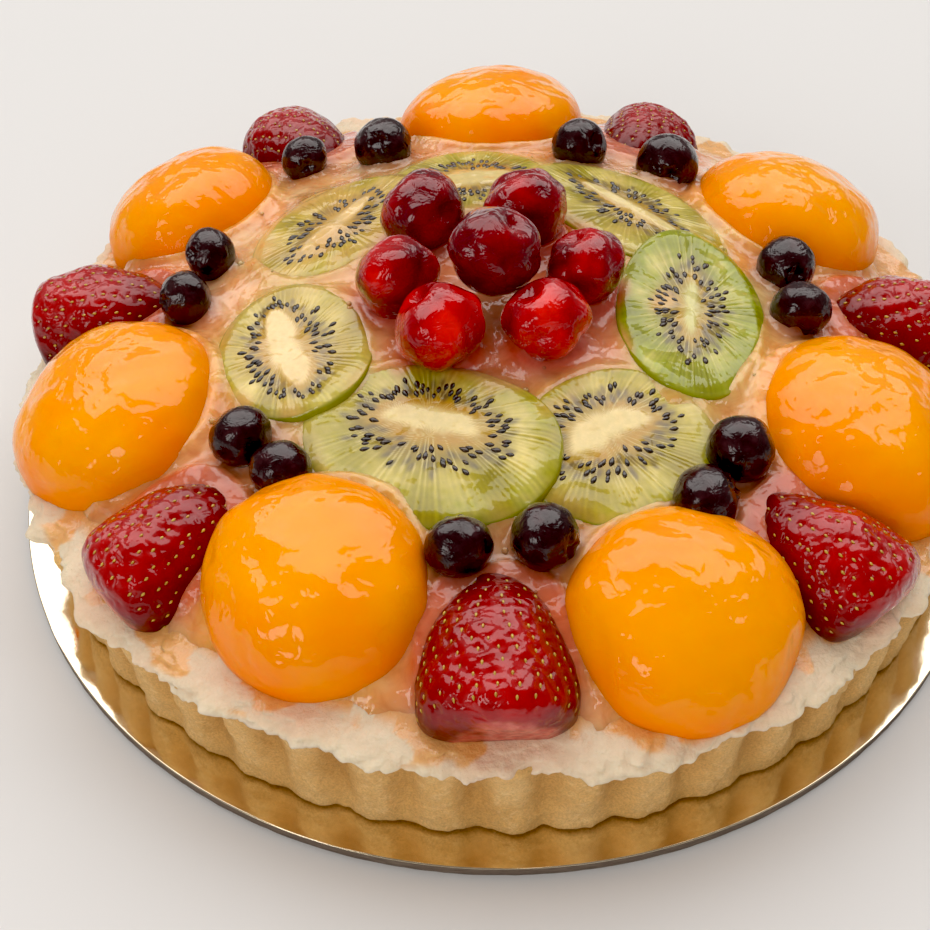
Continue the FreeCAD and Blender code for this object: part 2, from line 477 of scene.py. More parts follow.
def cream_material():
    m = Shader("pastry_cream")
    tint = m.colour_of("tint")
    cloud = m.noise(3.0, detail=5, rough=0.6)
    shade = m.ramp(cloud, [(0.3, (0.90, 0.87, 0.83)), (0.7, (1.0, 1.0, 1.0))])
    m.set("Base Color", m.mix(1.0, tint, shade, "MULTIPLY"))
    m.set("Roughness", m.level(cloud, 0.3, 0.7, 0.34, 0.6))
    m.coated(m.channels(m.colour_of("wet"))[0], 0.08)
    m.translucent(0.35, (1.0, 0.75, 0.6), 0.004)
    lumps = m.bump(m.noise(2.8, detail=5, rough=0.6), 0.9, 0.7)
    m.set("Normal", m.bump(m.noise(0.7, detail=4), 0.15, 0.6, lumps))
    m.set("Coat Normal", m.bump(m.noise(4.0, detail=3, distortion=0.5), 0.6, 0.8))
    return m.material


def glaze_material():
    """Set jelly: what lies under it shows as soft colour, with a wet, wavy top."""
    m = Shader("fruit_glaze", Roughness=0.12)
    tint = m.colour_of("tint")
    cloud = m.noise(5.0, detail=4, rough=0.55, distortion=0.9)
    shade = m.ramp(cloud, [(0.32, (0.84, 0.70, 0.62)), (0.6, (1.0, 1.0, 1.0))])
    m.set("Base Color", m.mix(1.0, tint, shade, "MULTIPLY"))
    m.coated(1.0, 0.02)
    m.set("Coat IOR", 1.5)
    m.set("Specular IOR Level", 0.2)
    m.translucent(0.5, (1.0, 0.45, 0.25), 0.006)
    m.set("Normal", m.bump(m.noise(6.0, detail=2), 0.4, 0.4))
    waves = m.bump(m.noise(8.0, detail=0, distortion=1.0), 1.6, 1.0)
    m.set("Coat Normal", m.bump(m.noise(2.8, detail=0, distortion=1.0), 0.30, 1.0, waves))
    return m.material


def apricot_material():
    m = Shader("apricot_flesh", Specular_IOR_Level=0.15, IOR=1.25)
    # The red channel darkens and reddens the flesh towards the base of each half: painted shade, with random
    # ripeness patches. The green channel is the coat weight.
    ripe_and_low_shade, wet, _ = m.channels(m.colour_of("ripe_and_low_shade"))
    soft = m.noise(11.0, detail=3, rough=0.5)
    veins = m.noise(2.4, detail=4, rough=0.6, distortion=1.2)
    amount = m.maths("ADD", m.maths("MULTIPLY", ripe_and_low_shade, 0.75), m.maths("MULTIPLY", soft, 0.3))
    flesh = m.ramp(
        amount,
        [
            (0.05, (1.0, 0.36, 0.0)),
            (0.40, (1.0, 0.30, 0.0)),
            (0.75, (1.0, 0.235, 0.0)),
            (1.0, (0.94, 0.17, 0.0)),
        ],
    )
    pale = m.level(veins, 0.58, 0.75, 0.0, 0.16)
    m.set("Base Color", m.mix(pale, flesh, (1.0, 0.44, 0.0)))
    m.set("Roughness", 0.3)
    m.coated(wet, 0.02)
    m.set("Coat IOR", 1.45)
    m.translucent(0.4, (1.0, 0.35, 0.06), 0.005)
    m.set("Normal", m.bump(m.noise(2.2, detail=2), 0.10, 0.6))
    wavy = m.bump(m.noise(8.0, detail=0, distortion=1.0), 1.3, 1.0)
    m.set("Coat Normal", m.bump(m.noise(3.2, detail=0, distortion=1.4), 0.20, 1.0, wavy))
    return m.material


def strawberry_material():
    m = Shader("strawberry_flesh", Specular_IOR_Level=0.15)
    # Channels: the cut face, painted shade that darkens the lower sides of each half, and coat weight.
    face, deep, wet = m.channels(m.colour_of("berry"))
    blotch = m.noise(6.0, detail=4, rough=0.55)
    red = m.ramp(
        m.maths("ADD", m.maths("MULTIPLY", blotch, 0.5), m.maths("MULTIPLY", deep, 0.6)),
        [(0.1, (0.50, 0.004, 0.004)), (0.45, (0.27, 0.0, 0.001)), (0.9, (0.09, 0.0, 0.001))],
    )
    cut = m.ramp(m.noise(2.0, detail=4), [(0.3, (0.46, 0.035, 0.025)), (0.7, (0.72, 0.20, 0.14))])
    m.set("Base Color", m.mix(face, red, cut))
    m.set("Roughness", 0.3)
    m.coated(wet, 0.02)
    m.translucent(0.3, (1.0, 0.12, 0.08), 0.004)
    m.set("Normal", m.bump(m.noise(1.6, detail=3), 0.16, 0.5))
    wavy = m.bump(m.noise(3.4, detail=0, distortion=1.2), 0.8, 1.0)
    m.set("Coat Normal", m.bump(m.noise(1.4, detail=0, distortion=0.6), 0.16, 1.0, wavy))
    return m.material


def seed_material(name, light, dark, gloss):
    m = Shader(name)
    tone = m.noise(1.3, detail=2)
    m.set("Base Color", m.ramp(tone, [(0.3, dark), (0.7, light)]))
    m.set("Roughness", gloss)
    m.coated(0.8, 0.05)
    return m.material


def blueberry_material():
    m = Shader("blueberry_skin", Specular_IOR_Level=0.15)
    bloom = m.noise(3.0, detail=5, rough=0.6)
    m.set(
        "Base Color",
        m.ramp(
            bloom,
            [(0.3, (0.012, 0.002, 0.003)), (0.55, (0.026, 0.004, 0.006)), (0.8, (0.06, 0.010, 0.014))],
        ),
    )
    m.set("Roughness", m.level(bloom, 0.3, 0.8, 0.22, 0.5))
    m.coated(1.0, 0.05)
    wrinkled = m.bump(m.noise(3.0, detail=3, rough=0.55, distortion=0.7), 0.55, 0.8)
    m.set("Normal", wrinkled)
    m.set("Coat Normal", wrinkled)
    return m.material


def cherry_material():
    m = Shader("candied_cherry", Specular_IOR_Level=0.15)
    # Own depth of colour of each cherry, with painted shade that darkens its underside.
    dark, _, _ = m.channels(m.colour_of("ripe_and_low_shade"))
    soft = m.noise(4.5, detail=3, distortion=0.7)
    flesh = m.ramp(
        m.maths("ADD", m.maths("MULTIPLY", dark, 0.7), m.maths("MULTIPLY", soft, 0.45)),
        [
            (0.12, (0.80, 0.014, 0.006)),
            (0.40, (0.52, 0.001, 0.002)),
            (0.70, (0.28, 0.0, 0.004)),
            (1.0, (0.12, 0.0, 0.006)),
        ],
    )
    m.set("Base Color", flesh)
    m.set("Roughness", 0.2)
    m.coated(1.0, 0.03)
    m.translucent(0.35, (1.0, 0.08, 0.06), 0.005)
    wrinkled = m.bump(m.noise(4.2, detail=3, rough=0.5, distortion=0.7), 0.9, 0.8)
    m.set("Normal", wrinkled)
    m.set("Coat Normal", wrinkled)
    return m.material


def kiwi_material():
    """Cut kiwi under glaze. The colour attribute holds the core, the rays and the flesh."""
    m = Shader("kiwi_flesh", Specular_IOR_Level=0.15)
    tint = m.colour_of("flesh")
    cloud = m.noise(2.0, detail=4, rough=0.6)
    shade = m.ramp(cloud, [(0.25, (0.82, 0.84, 0.78)), (0.75, (1.0, 1.0, 1.0))])
    m.set("Base Color", m.mix(1.0, tint, shade, "MULTIPLY"))
    m.set("Roughness", 0.3)
    m.coated(1.0, 0.04)
    m.translucent(0.3, (0.9, 0.9, 0.3), 0.0012)
    m.set("Normal", m.bump(m.noise(1.4, detail=3), 0.12, 0.5))
    waves = m.bump(m.noise(8.0, detail=0, distortion=0.8), 1.3, 1.0)
    m.set("Coat Normal", m.bump(m.noise(2.6, detail=0, distortion=0.8), 0.22, 1.0, waves))
    return m.material


# ---- the cake board --------------------------
def level_ring(circle, radius, z):
    """The unit circle, grown to a radius and lifted to a height; either may vary round it."""
    ring = circle * np.reshape(radius, (-1, 1))
    ring[:, 2] = z
    return ring


def disc_rings(radii_and_heights, cols, wobble):
    """Rings about the tart's axis from (radius, z) pairs."""
    turn = np.linspace(0.0, 2.0 * math.pi, cols, endpoint=False)
    rings = np.empty((len(radii_and_heights), cols, 3))
    for i, (radius, z) in enumerate(radii_and_heights):
        rings[i, :, 0] = radius * np.cos(turn)
        rings[i, :, 1] = radius * np.sin(turn)
        rings[i, :, 2] = z
    return wobble(rings)


def make_board():
    """Cardboard disc with a bevelled edge, and the foil on its top with a rolled rim."""
    cols = 360
    top = CORE_HIGH[2]
    core_profile = [(r, 0.0) for r in np.linspace(2.0, BOARD_RADIUS - 1.2, 12)]
    core_profile += [(BOARD_RADIUS - 0.3, 0.1), (BOARD_RADIUS - 0.03, 0.4), (BOARD_RADIUS - 0.02, top - 0.2)]
    core_profile += [(BOARD_RADIUS - 0.1, top - 0.02)]
    core_profile += [(r, top) for r in np.linspace(BOARD_RADIUS - 1.0, 2.0, 12)]
    fray = Ripple(3, 5.0)

    def frayed(rings):
        edge = smooth_step(np.hypot(rings[..., 0], rings[..., 1]), BOARD_RADIUS - 3.0, BOARD_RADIUS - 0.5)
        shrink = 1.0 - 0.0004 * edge * (1.0 + np.clip(fray(rings), -1.0, 1.0))
        rings[..., :2] *= shrink[..., None]
        return rings

    core = closed_grid(disc_rings(core_profile, cols, frayed))
    mesh_object("cake_board_core", core, [cardboard_material()], "board", ["board_core"])

    dent = Ripple(4, 26.0)
    foil_profile = [(r, top - 0.05) for r in np.linspace(3.0, BOARD_RADIUS - 0.6, 30)]
    foil_profile += [(BOARD_RADIUS - 0.04, top + 0.02), (BOARD_RADIUS, top + 0.14)]
    foil_profile += [(BOARD_RADIUS - 0.08, BOARD_TOP - 0.03)]
    foil_profile += [(r, BOARD_TOP) for r in np.linspace(BOARD_RADIUS - 0.35, 3.0, 60)]

    def dented(rings):
        reach = np.hypot(rings[..., 0], rings[..., 1])
        sag = 0.10 * smooth_step(reach, 114.0, 119.0) * np.clip(dent(rings), -1.0, 0.0)
        top_side = rings[..., 2] > top + 0.2
        rings[..., 2] += np.where(top_side, sag, 0.0)
        return rings

    foil = closed_grid(disc_rings(foil_profile, cols, dented))
    mesh_object("gold_foil_top", foil, [foil_material()], "board", ["board_foil"])


# ---- the pastry shell ------------------------
def flute_depth(turn):
    """0 on the crown of a flute, 1 in the valley between two: broad crowns, soft narrow valleys."""
    wander = 0.22 * np.sin(3.0 * turn + 1.0) + 0.16 * np.sin(7.0 * turn)
    return (0.5 - 0.5 * np.cos(FLUTE_COUNT * turn + wander)) ** 1.7


def make_shell():
    cols = FLUTE_COUNT * 22
    turn = np.linspace(0.0, 2.0 * math.pi, cols, endpoint=False)
    foot = SHELL_RIM_RADIUS - 3.5
    rim_z = SHELL_RIM_Z
    inner = SHELL_RIM_RADIUS - 8.0
    under = [(r, BOARD_TOP + 0.4, 0.0) for r in np.linspace(4.0, foot - 7.0, 14)]
    under += [(foot - 4.0, BOARD_TOP + 0.05, 0.1), (foot - 1.6, BOARD_TOP, 0.3)]
    under += [(foot - 0.4, BOARD_TOP + 0.5, 0.35)]
    wall = []
    for z in np.linspace(BOARD_TOP + 1.2, rim_z - 1.4, 30):
        share = (z - BOARD_TOP) / (rim_z - BOARD_TOP)
        deep = 0.35 + 0.65 * float(smooth_step(share, 0.0, 0.55))
        wall.append((foot + share * 3.5 - 0.35 * math.sin(math.pi * share), z, deep))
    crest = [(SHELL_RIM_RADIUS - 0.3, rim_z - 0.5, 1.0), (SHELL_RIM_RADIUS - 1.3, rim_z, 0.9)]
    crest += [(SHELL_RIM_RADIUS - 3.5, rim_z, 0.4), (inner + 0.6, rim_z - 0.4, 0.1)]
    inside = [(inner, rim_z - 2.0, 0.0), (inner - 1.5, BOARD_TOP + 8.0, 0.0)]
    inside += [(inner - 4.0, BOARD_TOP + 5.5, 0.0)]
    inside += [(r, BOARD_TOP + 5.0, 0.0) for r in np.linspace(inner - 8.0, 4.0, 6)]
    profile = under + wall + crest + inside
    valley = flute_depth(turn)
    rings = np.empty((len(profile), cols, 3))
    browned_and_valley_shade = np.zeros((len(profile), cols))
    for i, (radius, z, share) in enumerate(profile):
        reach = radius - FLUTE_DEPTH * share * valley
        rings[i] = np.stack([reach * np.cos(turn), reach * np.sin(turn), np.full(cols, z)], axis=1)
        # Painted shade: the valley term darkens the flute valleys on top of the even bake.
        browned_and_valley_shade[i] = 0.18 + 0.62 * share * valley
    dents = Ripple(11, 9.0)(rings) * 0.22 + Ripple(12, 3.2)(rings) * 0.12 + Ripple(13, 1.6, 40)(rings) * 0.05
    reach = np.hypot(rings[..., 0], rings[..., 1])
    on_wall = smooth_step(reach, inner + 1.0, foot - 3.0)
    push = np.minimum(dents * on_wall - 0.2 * on_wall, 0.25)
    rings[..., :2] *= (1.0 + push / np.maximum(reach, 1.0))[..., None]
    form = closed_grid(rings)
    height = (rings[..., 2] - BOARD_TOP) / (rim_z - BOARD_TOP)
    patches = Ripple(14, 22.0)(rings) * 0.10
    # Random browned patches, and darker towards the foot of the wall by the board.
    browned_and_valley_shade = browned_and_valley_shade + patches + 0.12 * smooth_step(0.12 - height, 0.0, 0.12)
    floury = np.broadcast_to(np.clip(0.8 - valley * 1.2, 0.0, 1.0), browned_and_valley_shade.shape)
    colours = np.zeros((len(form.points), 3))
    colours[:-2, 0] = np.clip(browned_and_valley_shade, 0.0, 1.0).ravel()
    colours[:-2, 1] = np.clip(floury, 0.0, 1.0).ravel()
    piece = mesh_object("fluted_shell", form, [pastry_material()], "tart", ["pastry_shell"])
    point_colours(piece, "bake_and_valley_shade", colours)


# ---- colours under the glaze -----------------
PEACH = np.array([0.82, 0.36, 0.12])
PALE_CREAM = np.array([0.84, 0.56, 0.29])
PINK = np.array([0.78, 0.27, 0.16])
JELLY = np.array([0.86, 0.47, 0.15])
JUICE_RED = np.array([0.56, 0.07, 0.04])
JUICE_DARK = np.array([0.20, 0.05, 0.05])
JUICE_ORANGE = np.array([0.94, 0.36, 0.03])
JUICE_GREEN = np.array([0.62, 0.46, 0.09])


def foot_gap(ball, points):
    """Distance over the cream from a round fruit's foot, negative under the fruit."""
    flat = ball.seat.local(points)[..., :2]
    return np.hypot(flat[..., 0], flat[..., 1]) - ball.foot


def berry_gap(berry, points):
    local = berry.seat.local(points)
    across = np.abs(local[..., 0]) / berry.half
    along = np.abs(local[..., 1]) / (berry.length / 2.0)
    return ((across ** 2.4 + along ** 2.4) ** (1.0 / 2.4) - 1.0) * berry.half


def kiwi_gap(kiwi, points):
    return (kiwi.inside(points[..., :2]) - 1.0) * (kiwi.half_along + kiwi.half_out) / 2.0


def stain(colour, towards, amount):
    return colour + (towards - colour) * amount[..., None]


def beside(gap, fade):
    """1 at a fruit's foot and under it, fading out over the cream."""
    return np.exp(-np.maximum(gap, 0.0) / fade)


def stained_beside(colour, points, fruits, gap_to, inset, fade, juice, amount):
    for fruit in fruits:
        colour = stain(colour, juice, amount * beside(gap_to(fruit, points) - inset, fade))
    return colour


def ground_colours(points):
    """Colour of glazed cream: peach jelly, paler where it is thin, stained beside each fruit."""
    reach = np.hypot(points[..., 0], points[..., 1])
    cloud = Ripple(21, 24.0)(points)
    fine = Ripple(22, 7.0)(points)
    colour = np.broadcast_to(PEACH, points.shape).copy()
    colour = stain(colour, PALE_CREAM, np.clip(0.32 + 0.22 * cloud + 0.14 * fine, 0.0, 0.9))
    colour = stain(colour, PINK, np.clip(0.12 + 0.20 * Ripple(23, 30.0)(points), 0.0, 0.5))
    colour = stained_beside(colour, points, APRICOTS, foot_gap, 0.0, 2.4, JUICE_ORANGE, 0.65)
    colour = stained_beside(colour, points, STRAWBERRIES, berry_gap, 0.0, 2.6, JUICE_RED, 0.75)
    colour = stained_beside(colour, points, KIWIS, kiwi_gap, 0.0, 2.6, JUICE_GREEN, 0.45)
    colour = stain(colour, PINK, 0.55 * (1.0 - smooth_step(reach, 22.0, 42.0)))
    colour = stained_beside(colour, points, RING_CHERRIES, foot_gap, 8.5, 3.0, JUICE_RED, 0.92)
    colour = stained_beside(colour, points, BLUEBERRIES, foot_gap, 2.0, 2.2, JUICE_DARK, 0.72)
    return np.clip(colour, 0.0, 1.0), reach


# ---- cream -----------------------------------
def make_cream():
    """Domed filling whose ragged edge runs over the rim and part way down the flutes."""
    cols = 1080
    turn = np.linspace(0.0, 2.0 * math.pi, cols, endpoint=False)
    circle = np.stack([np.cos(turn), np.sin(turn), np.zeros(cols)], axis=1)
    on_rim = circle * SHELL_RIM_RADIUS
    ragged = Ripple(31, 34.0)(on_rim) * 0.6 + Ripple(32, 13.0)(on_rim) * 0.45 + Ripple(33, 5.0)(on_rim) * 0.12
    drop = np.clip(1.1 + 1.5 * ragged, -0.6, 5.0)
    swell = np.clip(0.3 + 0.9 * Ripple(34, 22.0)(on_rim) + 0.35 * Ripple(35, 7.0)(on_rim), -1.6, 2.4)
    rings = []
    for radius in np.linspace(3.0, DOME_RIM - 5.0, 40):
        ring = circle * radius
        ring[:, 2] = dome_height(ring[:, :2])
        rings.append(ring)
    edge_z = dome_height(circle[:, :2] * (DOME_RIM - 5.0))
    edge_radius = DOME_RIM - 5.0
    outer = SHELL_RIM_RADIUS + swell
    for share in np.linspace(0.06, 1.0, 20):
        bend = share * math.pi / 2.0
        radius = edge_radius + (outer - edge_radius) * math.sin(bend) ** 1.1
        z = edge_z - (edge_z - (SHELL_RIM_Z - 0.6 * drop)) * (1.0 - math.cos(bend)) ** 0.85
        rings.append(level_ring(circle, radius, z))
    for share in np.linspace(0.15, 1.0, 7):
        radius = outer - (swell + 1.6) * share ** 2
        z = (SHELL_RIM_Z - 0.6 * drop) - 0.4 * drop * math.sin(share * math.pi / 2.0)
        rings.append(level_ring(circle, radius, z))
    tucked = ((SHELL_RIM_RADIUS - 9.0, SHELL_RIM_Z - 6.0), (SHELL_RIM_RADIUS - 12.0, BOARD_TOP + 5.2))
    for radius, z in tucked:
        rings.append(level_ring(circle, radius, z))
    rings = np.array(rings)
    reach = np.hypot(rings[..., 0], rings[..., 1])
    rough = smooth_step(reach, DOME_RIM - 12.0, DOME_RIM - 1.0)
    lumps = 0.9 * np.abs(Ripple(36, 13.0)(rings)) + 0.75 * np.abs(Ripple(37, 7.0, 40)(rings)) - 1.2
    lumps += 0.45 * np.abs(Ripple(38, 3.6, 50)(rings))
    way = rings - np.array([0.0, 0.0, SHELL_RIM_Z - 12.0])
    way /= np.linalg.norm(way, axis=-1)[..., None]
    inside = np.arange(len(rings))[:, None] >= len(rings) - 2
    amount = np.where(inside, 0.0, rough * np.clip(lumps, -2.0, 2.0) * 0.75)
    rings += way * amount[..., None]
    form = closed_grid(rings)
    points = form.points
    glazed, reach = ground_colours(points)
    white = np.array([0.83, 0.69, 0.50])
    pinkish = np.array([0.88, 0.60, 0.42])
    colour = np.broadcast_to(white, points.shape).copy()
    colour = stain(colour, pinkish, np.clip(0.15 + 0.30 * Ripple(39, 26.0)(points), 0.0, 0.7))
    skin = 0.45 + 0.75 * Ripple(40, 24.0)(points) + 0.35 * Ripple(41, 8.0)(points)
    shore = DOME_RIM - 7.0 + 6.0 * np.clip(skin, -0.3, 1.4)
    covered = 1.0 - smooth_step(reach - shore, -0.5, 1.2)
    glazed = stain(glazed, JELLY, 0.7 * smooth_step(reach, DOME_RIM - 14.0, DOME_RIM - 4.0))
    colour = stain(colour, glazed, covered)
    piece = mesh_object("cream_dome", form, [cream_material()], "tart", ["cream_filling"])
    point_colours(piece, "tint", np.clip(colour, 0.0, 1.0))
    point_colours(piece, "wet", np.repeat(np.clip(covered, 0.0, 1.0)[:, None], 3, axis=1))


# ---- kiwi ------------------------------------
class Ground:
    """Height of everything laid so far, on a square grid, in millimetres."""

    STEP = 0.75
    HALF = 90.0

    def __init__(self):
        ticks = np.arange(-self.HALF, self.HALF + self.STEP, self.STEP)
        self.x, self.y = np.meshgrid(ticks, ticks, indexing="ij")
        self.xy = np.stack([self.x, self.y], axis=-1)
        self.z = dome_height(self.xy)

    def soft(self, width):
        """The height, blurred over about width mm."""
        z = self.z
        passes = max(int((width / self.STEP) ** 2 / 2.0), 1)
        for _ in range(passes):
            z = (np.roll(z, 1, 0) + np.roll(z, -1, 0) + 2.0 * z) / 4.0
            z = (np.roll(z, 1, 1) + np.roll(z, -1, 1) + 2.0 * z) / 4.0
        return z

    def read(self, z, xy):
        u = np.clip((xy + self.HALF) / self.STEP, 0.0, z.shape[0] - 1.001)
        i = u.astype(int)
        f = u - i
        a, b = i[..., 0], i[..., 1]
        fa, fb = f[..., 0], f[..., 1]
        low = z[a, b] * (1 - fb) + z[a, b + 1] * fb
        high = z[a + 1, b] * (1 - fb) + z[a + 1, b + 1] * fb
        return low * (1 - fa) + high * fa


def teardrop(length, width, height, cols=8, rows=6):
    """A small seed lying along local X, pointed at -X."""
    rings = []
    for t in np.linspace(0.08, 0.95, rows):
        x = -0.5 * length + length * t
        swell = math.sin(math.pi * t ** 1.35) ** 0.8
        ring = []
        for a in np.linspace(0.0, 2.0 * math.pi, cols, endpoint=False):
            ring.append((x, 0.5 * width * swell * math.cos(a), 0.5 * height * swell * math.sin(a)))
        rings.append(ring)
    return closed_grid(np.array(rings))


FACE_SPAN = (24.0, 18.0)            # half sizes in mm that the pattern of a cut face is drawn at
GHOST_SPAN = (1.25, 0.62)           # half sizes in mm of a seed that shows dimly


class KiwiCut:
    """How one slice looks: its core's half sizes as shares of the slice, the core's shift, how green
    and how pale the flesh is, how much glaze covers it, and its random seed."""

    def __init__(self, core, shift, green, pale, sunk, seed):
        self.core = core
        self.shift = shift
        self.green = green
        self.pale = pale
        self.sunk = sunk
        rng = np.random.default_rng(seed)
        self.ray_counts = rng.integers(38, 120, 26)
        self.ray_phases = rng.uniform(0.0, 2.0 * math.pi, 26)
        self.seed = seed

    def from_core(self, x, y):
        """How far out from the core's edge (0) to the rind (1), below 0 in the core, and the turn."""
        share = np.hypot(x, y)
        hold = np.clip(1.0 - share, 0.0, 1.0)
        x, y = x - self.shift[0] * hold, y - self.shift[1] * hold
        share = np.hypot(x, y)
        turn = np.arctan2(y, x)
        edge = 1.0 / np.hypot(np.cos(turn) / self.core[0], np.sin(turn) / self.core[1])
        edge = edge * (1.0 + 0.05 * np.sin(3.0 * turn + self.seed) + 0.05 * np.sin(7.0 * turn))
        return (share - edge) / (1.0 - edge), turn

    def rays(self, turn):
        waves = np.cos(turn[..., None] * self.ray_counts + self.ray_phases)
        return waves.sum(axis=-1) * math.sqrt(2.0 / len(self.ray_counts))

    def colours(self, x, y, ghosts):
        """Colour at a place on the cut face. Ghosts are seeds that show dimly through the flesh."""
        t, turn = self.from_core(x, y)
        place = np.stack([x * FACE_SPAN[0], y * FACE_SPAN[1], np.full_like(x, 7.0 * self.seed)], axis=-1)
        cloud = Ripple(self.seed, 12.0)(place)
        fine = Ripple(self.seed + 1, 2.5)(place)
        olive, lime = np.array([0.52, 0.37, 0.02]), np.array([0.32, 0.33, 0.004])
        outer = olive * (1.0 - self.green) + lime * self.green
        colour = np.broadcast_to(outer, (*x.shape, 3)).copy()
        green_edge = smooth_step(t, 0.55, 0.92) * np.clip(0.55 + 0.35 * cloud, 0.1, 1.0)
        colour = stain(colour, np.array([0.30, 0.35, 0.008]), green_edge * (0.45 + 0.5 * self.green))
        milky = np.array([0.64, 0.50, 0.17])
        veil = np.clip(self.pale + 0.20 * cloud + 0.08 * fine, 0.0, 0.7)
        colour = stain(colour, milky, veil * smooth_step(t, 0.1, 0.5))
        colour = colour * (1.0 + 0.06 * self.rays(turn) * smooth_step(t, 0.3, 0.5) + 0.12 * cloud)[..., None]
        seedy = np.array([0.26, 0.155, 0.012])
        colour = stain(colour, seedy, 0.75 * np.exp(-((t - 0.27) / 0.15) ** 2))
        halo = np.array([0.52, 0.27, 0.022])
        halo_amount = (1.0 - smooth_step(t, 0.08, 0.30)) * np.clip(0.90 + 0.2 * cloud, 0.4, 1.0)
        colour = stain(colour, halo, halo_amount)
        for gx, gy, way in ghosts:
            dx, dy = (x - gx) * FACE_SPAN[0], (y - gy) * FACE_SPAN[1]
            along = dx * math.cos(way) + dy * math.sin(way)
            aside = -dx * math.sin(way) + dy * math.cos(way)
            blot = np.exp(-((along / GHOST_SPAN[0]) ** 2 + (aside / GHOST_SPAN[1]) ** 2) ** 1.5)
            colour = stain(colour, np.array([0.12, 0.085, 0.045]), 0.72 * blot)
        ray = smooth_step(self.rays(turn) + 0.2 * fine, 0.6, 1.6)
        ray = ray * smooth_step(t, -0.02, 0.04) * (1.0 - smooth_step(t, 0.35, 0.85))
        colour = stain(colour, np.array([0.76, 0.62, 0.25]), 0.55 * ray)
        core = np.array([0.95, 0.68, 0.32]) * (1.0 - 0.3 * self.green)
        core = core + np.array([0.0, 0.12, 0.0]) * self.green
        colour = stain(colour, core, 1.0 - smooth_step(t + 0.022 * self.rays(turn), -0.14, 0.07))
        rind = np.array([0.28, 0.27, 0.02])
        return stain(colour, rind, 0.35 * smooth_step(t, 0.93, 0.99))


KIWI_CUTS = (
    KiwiCut((0.50, 0.24), (0.0, 0.0), 0.45, 0.30, 0.10, 61),
    KiwiCut((0.56, 0.12), (0.0, 0.06), 0.50, 0.30, 0.16, 62),
    KiwiCut((0.52, 0.13), (0.0, 0.0), 0.00, 0.05, 0.50, 63),
    KiwiCut((0.46, 0.24), (-0.12, -0.22), 0.35, 0.05, 0.10, 64),
    KiwiCut((0.34, 0.12), (0.0, 0.0), 0.95, 0.02, 0.0, 65),
    KiwiCut((0.40, 0.22), (-0.06, -0.28), 0.40, 0.16, 0.0, 66),
    KiwiCut((0.64, 0.25), (0.0, 0.16), 0.05, 0.20, 0.15, 67),
)


